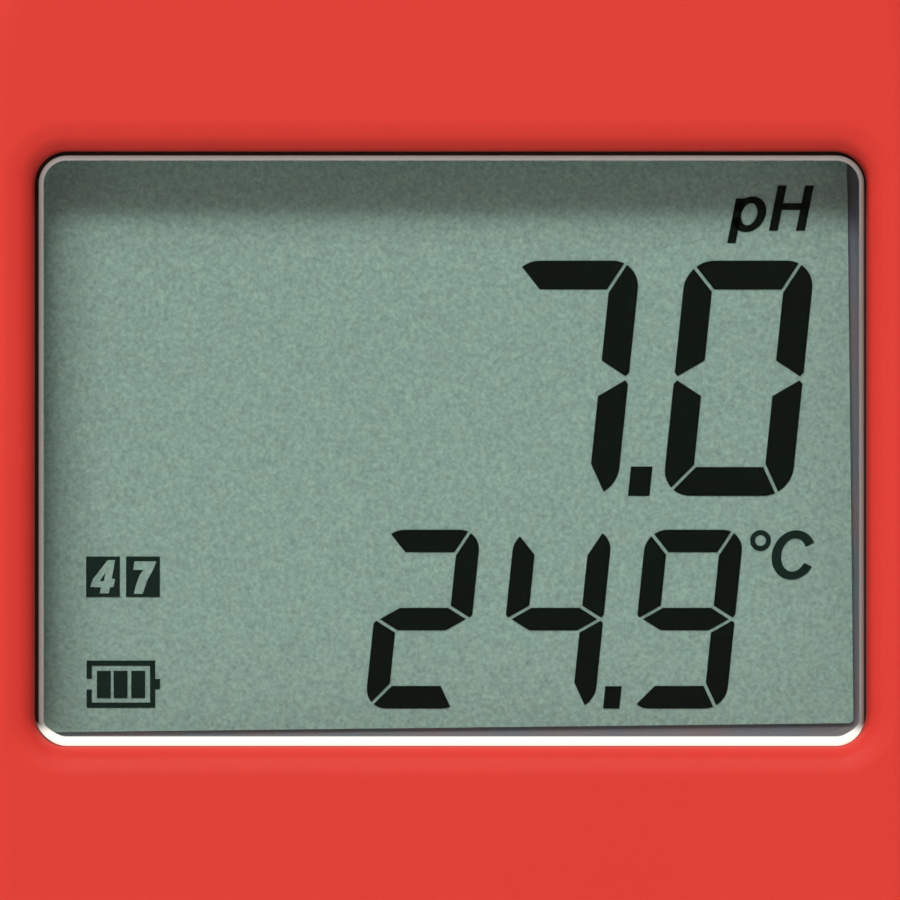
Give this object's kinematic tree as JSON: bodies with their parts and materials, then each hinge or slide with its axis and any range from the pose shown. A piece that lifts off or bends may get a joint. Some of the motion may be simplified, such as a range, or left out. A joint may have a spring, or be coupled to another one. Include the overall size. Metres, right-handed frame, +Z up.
{
  "type": "ph meter",
  "caption": "Pocket pH tester with a window over a segment display, a push button, a glass electrode and a clear cap that it stands on.",
  "frame": {"origin": "middle of the foot, on the floor under the middle of the bounding box", "axes": "+X to the right of a user facing the display, +Y from the display side to the back, +Z up"},
  "size_m": [0.04, 0.017, 0.1602],
  "materials": {
    "red_housing": "fine satin moulding",
    "dark_sleeve": "fine satin moulding",
    "smoke_cap": "smooth clear moulding with a grey tint",
    "grey_seal": "soft moulded silicone",
    "sponge": "open-cell sponge",
    "clear_lens": "polished clear acrylic",
    "lens_tape": "black adhesive foam",
    "lcd_glass": "thin flat glass",
    "lcd_film": "green-grey polarizing film",
    "lcd_reflector": "silvered film with a soft grain",
    "white_holder": "white moulding",
    "zebra": "layered contact rubber",
    "board": "green laminate",
    "chip": "black moulded package",
    "tin": "plain metal can",
    "ceramic_parts": "fired ceramic bodies",
    "button": "fine satin moulding",
    "switch_black": "moulded",
    "steel": "plain steel",
    "plated_brass": "thin plated strip",
    "cover": "fine satin moulding",
    "label": "coated label stock, blank",
    "probe_glass": "thin clear glass",
    "bulb_glass": "thin sensing glass",
    "junction": "porous white ceramic",
    "silver": "silver wire, darkened with chloride",
    "epoxy": "cast resin"
  },
  "bodies": {
    "cap": {"protective_cap": "smoke_cap", "cap_sponge": "sponge"},
    "button": {"button_key": "button"},
    "switch": {"switch_plunger": "switch_black"},
    "cover_seal": {"battery_cover_seal": "grey_seal"},
    "cover": {"battery_cover": "cover"},
    "housing": {"probe_sleeve": "dark_sleeve", "probe_gasket": "grey_seal", "cap_seal": "grey_seal", "electrode_tube": "probe_glass", "reference_junction": "junction", "sensing_bulb": "bulb_glass", "electrode_stem": "probe_glass", "stem_seal": "grey_seal", "silver_electrode": "silver", "reference_wire": "silver", "temperature_sheath": "steel", "thermistor_bead": "epoxy", "thermistor_lead_1": "steel", "thermistor_lead_2": "steel", "probe_board": "board", "header_pin_1": "plated_brass", "header_pin_2": "plated_brass", "header_pin_3": "plated_brass", "header_pin_4": "plated_brass", "front_shell": "red_housing", "rear_shell": "red_housing", "housing_seal": "grey_seal", "housing_screws": "steel", "rear_label": "label", "display_lens": "clear_lens", "lens_tape": "lens_tape", "lcd_front_glass": "lcd_glass", "lcd_rear_glass": "lcd_glass", "lcd_reflector": "lcd_reflector", "lcd_polarizer": "lcd_film", "lcd_holder": "white_holder", "zebra_strip": "zebra", "main_board": "board", "board_screws": "steel", "controller_chip": "chip", "amplifier_chip": "chip", "crystal": "tin", "resistor_1": "chip", "resistor_2": "chip", "resistor_3": "chip", "resistor_4": "chip", "resistor_5": "chip", "resistor_6": "chip", "capacitor_1": "ceramic_parts", "capacitor_2": "ceramic_parts", "capacitor_3": "ceramic_parts", "capacitor_4": "ceramic_parts", "button_boot": "grey_seal", "switch_body": "switch_black", "battery_cell": "steel", "battery_contact_negative": "plated_brass", "battery_contact_positive": "plated_brass"}
  },
  "joints": [
    {"name": "meter_lift", "type": "slide", "parent": "cap", "child": "housing", "axis": [0, 0, 1], "range_m": [0, 0.055]},
    {"name": "button_press", "type": "slide", "parent": "housing", "child": "button", "axis": [0, 1, 0], "range_m": [0, 0.0006], "stiffness_N_per_m": 1000, "springref_m": -0.0005, "deforming": ["button_boot"]},
    {"name": "switch_travel", "type": "slide", "parent": "housing", "child": "switch", "axis": [0, 1, 0], "range_m": [0, 0.00025]},
    {"name": "battery_cover_lift", "type": "slide", "parent": "housing", "child": "cover_seal", "axis": [0, 1, 0], "range_m": [0, 0.015]},
    {"name": "battery_cover_turn", "type": "hinge", "parent": "cover_seal", "child": "cover", "pos_m": [0, 0.007, 0.135], "axis": [0, -1, 0], "range_deg": [0, 45]}
  ],
  "couplings": [
    {"joint": "switch_travel", "follows": "button_press", "ratio": 0.4166}
  ]
}
